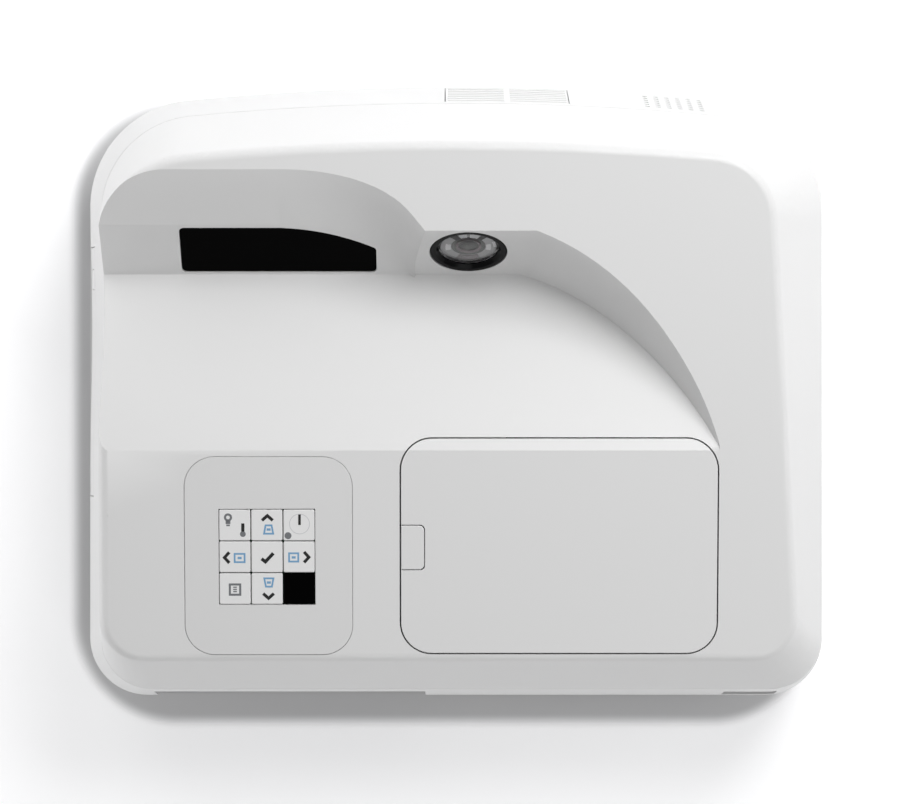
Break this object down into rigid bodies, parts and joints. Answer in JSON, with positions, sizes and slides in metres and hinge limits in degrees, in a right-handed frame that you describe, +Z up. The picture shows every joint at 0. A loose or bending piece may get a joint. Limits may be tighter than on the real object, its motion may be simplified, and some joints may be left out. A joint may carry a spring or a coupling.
{
  "type": "projector",
  "caption": "Low wide projector with a scooped top, a sloping window, a camera lens, a square keypad, a hinged lamp door and a slim disc tray in its left side.",
  "frame": {"origin": "middle of the bounding box in plan, on the surface that the feet stand on", "axes": "+X to the right as seen in the picture, +Y towards the rear hump, +Z up"},
  "size_m": [0.383, 0.318, 0.1212],
  "materials": {
    "case_white": "satin moulded plastic",
    "key_white": "satin moulded plastic",
    "black_gloss": "polished",
    "window_glass": "coated, nearly black",
    "camera_glass": "coated glass",
    "soft_rubber": "matte",
    "black_plastic": "matte moulded plastic",
    "zinc_sheet": "zinc plated",
    "polished_steel": "polished",
    "bare_aluminium": "satin",
    "black_metal": "satin black",
    "mirror_coat": "first-surface mirror",
    "wheel_glass": "dichroic",
    "circuit_board": "solder mask",
    "filter_foam": "open foam",
    "insert_brass": "machined"
  },
  "bodies": {
    "projector": {"ballast": "circuit_board", "bottom_case": "case_white", "camera_barrel": "black_plastic", "camera_bezel": "black_gloss", "camera_lens": "camera_glass", "case_screws": "zinc_sheet", "concave_mirror": "mirror_coat", "drive_chassis": "zinc_sheet", "drive_cover": "zinc_sheet", "dust_filter": "filter_foam", "engine_heat_sink": "bare_aluminium", "exhaust_fan": "black_plastic", "exhaust_grille": "case_white", "filter_cover": "case_white", "hinge_pins": "polished_steel", "indicator_tile": "key_white", "infrared_window": "black_gloss", "intake_fan": "black_plastic", "io_connectors": "black_plastic", "io_panel": "zinc_sheet", "keypad_board": "circuit_board", "keypad_panel": "case_white", "lamp_bay": "zinc_sheet", "lamp_module": "black_plastic", "lamp_reflector": "mirror_coat", "light_engine": "bare_aluminium", "main_board": "circuit_board", "mirror_frame": "zinc_sheet", "mount_inserts": "insert_brass", "power_inlet": "black_plastic", "power_supply": "circuit_board", "projection_lens": "black_metal", "projection_window": "window_glass", "speaker": "black_plastic", "top_cover": "case_white", "wheel_motor": "zinc_sheet", "window_gasket": "soft_rubber"},
    "lamp_door": {"lamp_door": "case_white"},
    "door_latch": {"door_latch": "case_white"},
    "focus_ring": {"focus_ring": "black_plastic"},
    "colour_wheel": {"colour_wheel": "wheel_glass"},
    "exhaust_impeller": {"exhaust_impeller": "black_plastic"},
    "intake_impeller": {"intake_impeller": "black_plastic"},
    "disc_tray": {"disc_tray": "black_plastic", "tray_bezel": "case_white", "sled_rods": "polished_steel"},
    "eject_button": {"eject_button": "key_white"},
    "spindle_hub": {"spindle_hub": "black_plastic"},
    "laser_sled": {"laser_sled": "black_plastic"},
    "key_up": {"key_up": "key_white"},
    "key_power": {"key_power": "key_white"},
    "key_left": {"key_left": "key_white"},
    "key_enter": {"key_enter": "key_white"},
    "key_right": {"key_right": "key_white"},
    "key_menu": {"key_menu": "key_white"},
    "key_down": {"key_down": "key_white"},
    "foot_front_left": {"foot_front_left": "soft_rubber"},
    "foot_front_right": {"foot_front_right": "soft_rubber"},
    "foot_rear_left": {"foot_rear_left": "soft_rubber"},
    "foot_rear_right": {"foot_rear_right": "soft_rubber"}
  },
  "joints": [
    {"name": "key_up_press", "type": "slide", "parent": "projector", "child": "key_up", "axis": [0, 0.0993, -0.9951], "range_m": [0, 0.0005], "stiffness_N_per_m": 400, "springref_m": -0.0003},
    {"name": "key_power_press", "type": "slide", "parent": "projector", "child": "key_power", "axis": [0, 0.0993, -0.9951], "range_m": [0, 0.0005], "stiffness_N_per_m": 400, "springref_m": -0.0003},
    {"name": "key_left_press", "type": "slide", "parent": "projector", "child": "key_left", "axis": [0, 0.0993, -0.9951], "range_m": [0, 0.0005], "stiffness_N_per_m": 400, "springref_m": -0.0003},
    {"name": "key_enter_press", "type": "slide", "parent": "projector", "child": "key_enter", "axis": [0, 0.0993, -0.9951], "range_m": [0, 0.0005], "stiffness_N_per_m": 400, "springref_m": -0.0003},
    {"name": "key_right_press", "type": "slide", "parent": "projector", "child": "key_right", "axis": [0, 0.0993, -0.9951], "range_m": [0, 0.0005], "stiffness_N_per_m": 400, "springref_m": -0.0003},
    {"name": "key_menu_press", "type": "slide", "parent": "projector", "child": "key_menu", "axis": [0, 0.0993, -0.9951], "range_m": [0, 0.0005], "stiffness_N_per_m": 400, "springref_m": -0.0003},
    {"name": "key_down_press", "type": "slide", "parent": "projector", "child": "key_down", "axis": [0, 0.0993, -0.9951], "range_m": [0, 0.0005], "stiffness_N_per_m": 400, "springref_m": -0.0003},
    {"name": "lamp_door_hinge", "type": "hinge", "parent": "projector", "child": "lamp_door", "pos_m": [0.1527, -0.07756, 0.0952], "axis": [0, 0.9951, 0.0993], "range_deg": [0, 90]},
    {"name": "door_latch_pivot", "type": "hinge", "parent": "lamp_door", "child": "door_latch", "pos_m": [-0.0174, -0.07842, 0.09773], "axis": [0, -0.9951, -0.0993], "range_deg": [0, 7], "stiffness_Nm_per_rad": 0.05, "springref_deg": -5.73},
    {"name": "focus_ring_turn", "type": "hinge", "parent": "projector", "child": "focus_ring", "pos_m": [-0.09, -0.008, 0.062], "axis": [0, 1, 0], "range_deg": [-20, 20]},
    {"name": "colour_wheel_spin", "type": "hinge", "parent": "projector", "child": "colour_wheel", "pos_m": [0.004, -0.104, 0.062], "axis": [1, 0, 0], "continuous": true},
    {"name": "exhaust_fan_spin", "type": "hinge", "parent": "projector", "child": "exhaust_impeller", "pos_m": [0.164, -0.082, 0.043], "axis": [1, 0, 0], "continuous": true},
    {"name": "intake_fan_spin", "type": "hinge", "parent": "projector", "child": "intake_impeller", "pos_m": [0.026, 0.1255, 0.043], "axis": [0, 1, 0], "continuous": true},
    {"name": "disc_tray_slide", "type": "slide", "parent": "projector", "child": "disc_tray", "axis": [-1, 0, 0], "range_m": [0, 0.124]},
    {"name": "eject_button_press", "type": "slide", "parent": "disc_tray", "child": "eject_button", "axis": [1, 0, 0], "range_m": [0, 0.001], "stiffness_N_per_m": 300, "springref_m": -0.0005},
    {"name": "disc_spindle_spin", "type": "hinge", "parent": "disc_tray", "child": "spindle_hub", "pos_m": [-0.122, 0.01, 0.034], "axis": [0, 0, 1], "continuous": true},
    {"name": "laser_sled_slide", "type": "slide", "parent": "disc_tray", "child": "laser_sled", "axis": [1, 0, 0], "range_m": [0, 0.028]},
    {"name": "foot_front_left_height", "type": "slide", "parent": "projector", "child": "foot_front_left", "axis": [0, 0, -1], "range_m": [0, 0.008]},
    {"name": "foot_front_right_height", "type": "slide", "parent": "projector", "child": "foot_front_right", "axis": [0, 0, -1], "range_m": [0, 0.008]},
    {"name": "foot_rear_left_height", "type": "slide", "parent": "projector", "child": "foot_rear_left", "axis": [0, 0, -1], "range_m": [0, 0.008]},
    {"name": "foot_rear_right_height", "type": "slide", "parent": "projector", "child": "foot_rear_right", "axis": [0, 0, -1], "range_m": [0, 0.008]}
  ]
}
